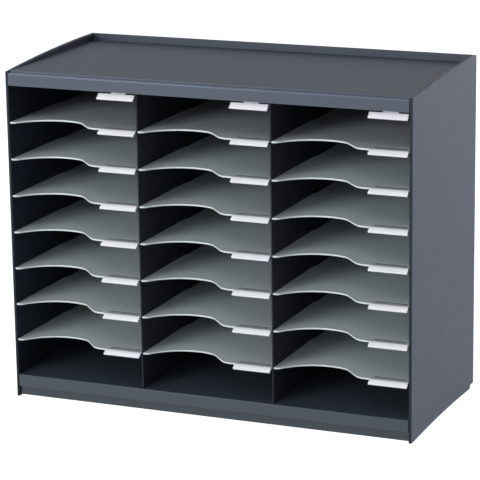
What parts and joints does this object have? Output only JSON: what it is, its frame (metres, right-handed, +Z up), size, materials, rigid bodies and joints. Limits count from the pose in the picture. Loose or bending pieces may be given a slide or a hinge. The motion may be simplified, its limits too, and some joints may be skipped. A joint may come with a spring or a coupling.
{
  "type": "desktop literature sorter",
  "caption": "Free-standing A4 literature sorter: columns of open compartments parted by thin pull-out shelves with finger recesses and clip-on label holders.",
  "frame": {"origin": "bottom centre of the bounding box, on the table between the four feet", "axes": "+X to the right along the width, +Y to the back, +Z up; the openings face -Y"},
  "size_m": [0.674, 0.3164, 0.545],
  "materials": {
    "housing": "anthracite moulded polystyrene with a fine grain",
    "shelf": "light grey moulded polystyrene sheet, satin",
    "label_holder": "milky clear plastic, glossy",
    "label_card": "blank white card"
  },
  "bodies": {
    "housing": {"left_side_panel": "housing", "right_side_panel": "housing", "left_divider": "housing", "right_divider": "housing", "top_panel": "housing", "base_panel": "housing", "back_panel": "housing", "top_label_holders": "label_holder", "top_label_cards": "label_card"},
    "shelf_left_1": {"shelf_left_1": "shelf", "label_holder_left_1": "label_holder"},
    "shelf_left_2": {"shelf_left_2": "shelf", "label_holder_left_2": "label_holder"},
    "shelf_left_3": {"shelf_left_3": "shelf", "label_holder_left_3": "label_holder"},
    "shelf_left_4": {"shelf_left_4": "shelf", "label_holder_left_4": "label_holder"},
    "shelf_left_5": {"shelf_left_5": "shelf", "label_holder_left_5": "label_holder"},
    "shelf_left_6": {"shelf_left_6": "shelf", "label_holder_left_6": "label_holder"},
    "shelf_left_7": {"shelf_left_7": "shelf", "label_holder_left_7": "label_holder"},
    "shelf_middle_1": {"shelf_middle_1": "shelf", "label_holder_middle_1": "label_holder"},
    "shelf_middle_2": {"shelf_middle_2": "shelf", "label_holder_middle_2": "label_holder"},
    "shelf_middle_3": {"shelf_middle_3": "shelf", "label_holder_middle_3": "label_holder"},
    "shelf_middle_4": {"shelf_middle_4": "shelf", "label_holder_middle_4": "label_holder"},
    "shelf_middle_5": {"shelf_middle_5": "shelf", "label_holder_middle_5": "label_holder"},
    "shelf_middle_6": {"shelf_middle_6": "shelf", "label_holder_middle_6": "label_holder"},
    "shelf_middle_7": {"shelf_middle_7": "shelf", "label_holder_middle_7": "label_holder"},
    "shelf_right_1": {"shelf_right_1": "shelf", "label_holder_right_1": "label_holder"},
    "shelf_right_2": {"shelf_right_2": "shelf", "label_holder_right_2": "label_holder"},
    "shelf_right_3": {"shelf_right_3": "shelf", "label_holder_right_3": "label_holder"},
    "shelf_right_4": {"shelf_right_4": "shelf", "label_holder_right_4": "label_holder"},
    "shelf_right_5": {"shelf_right_5": "shelf", "label_holder_right_5": "label_holder"},
    "shelf_right_6": {"shelf_right_6": "shelf", "label_holder_right_6": "label_holder"},
    "shelf_right_7": {"shelf_right_7": "shelf", "label_holder_right_7": "label_holder"}
  },
  "joints": [
    {"name": "slide_left_1", "type": "slide", "parent": "housing", "child": "shelf_left_1", "axis": [0, -1, 0], "range_m": [0, 0.305]},
    {"name": "slide_left_2", "type": "slide", "parent": "housing", "child": "shelf_left_2", "axis": [0, -1, 0], "range_m": [0, 0.305]},
    {"name": "slide_left_3", "type": "slide", "parent": "housing", "child": "shelf_left_3", "axis": [0, -1, 0], "range_m": [0, 0.305]},
    {"name": "slide_left_4", "type": "slide", "parent": "housing", "child": "shelf_left_4", "axis": [0, -1, 0], "range_m": [0, 0.305]},
    {"name": "slide_left_5", "type": "slide", "parent": "housing", "child": "shelf_left_5", "axis": [0, -1, 0], "range_m": [0, 0.305]},
    {"name": "slide_left_6", "type": "slide", "parent": "housing", "child": "shelf_left_6", "axis": [0, -1, 0], "range_m": [0, 0.305]},
    {"name": "slide_left_7", "type": "slide", "parent": "housing", "child": "shelf_left_7", "axis": [0, -1, 0], "range_m": [0, 0.305]},
    {"name": "slide_middle_1", "type": "slide", "parent": "housing", "child": "shelf_middle_1", "axis": [0, -1, 0], "range_m": [0, 0.305]},
    {"name": "slide_middle_2", "type": "slide", "parent": "housing", "child": "shelf_middle_2", "axis": [0, -1, 0], "range_m": [0, 0.305]},
    {"name": "slide_middle_3", "type": "slide", "parent": "housing", "child": "shelf_middle_3", "axis": [0, -1, 0], "range_m": [0, 0.305]},
    {"name": "slide_middle_4", "type": "slide", "parent": "housing", "child": "shelf_middle_4", "axis": [0, -1, 0], "range_m": [0, 0.305]},
    {"name": "slide_middle_5", "type": "slide", "parent": "housing", "child": "shelf_middle_5", "axis": [0, -1, 0], "range_m": [0, 0.305]},
    {"name": "slide_middle_6", "type": "slide", "parent": "housing", "child": "shelf_middle_6", "axis": [0, -1, 0], "range_m": [0, 0.305]},
    {"name": "slide_middle_7", "type": "slide", "parent": "housing", "child": "shelf_middle_7", "axis": [0, -1, 0], "range_m": [0, 0.305]},
    {"name": "slide_right_1", "type": "slide", "parent": "housing", "child": "shelf_right_1", "axis": [0, -1, 0], "range_m": [0, 0.305]},
    {"name": "slide_right_2", "type": "slide", "parent": "housing", "child": "shelf_right_2", "axis": [0, -1, 0], "range_m": [0, 0.305]},
    {"name": "slide_right_3", "type": "slide", "parent": "housing", "child": "shelf_right_3", "axis": [0, -1, 0], "range_m": [0, 0.305]},
    {"name": "slide_right_4", "type": "slide", "parent": "housing", "child": "shelf_right_4", "axis": [0, -1, 0], "range_m": [0, 0.305]},
    {"name": "slide_right_5", "type": "slide", "parent": "housing", "child": "shelf_right_5", "axis": [0, -1, 0], "range_m": [0, 0.305]},
    {"name": "slide_right_6", "type": "slide", "parent": "housing", "child": "shelf_right_6", "axis": [0, -1, 0], "range_m": [0, 0.305]},
    {"name": "slide_right_7", "type": "slide", "parent": "housing", "child": "shelf_right_7", "axis": [0, -1, 0], "range_m": [0, 0.305]}
  ]
}
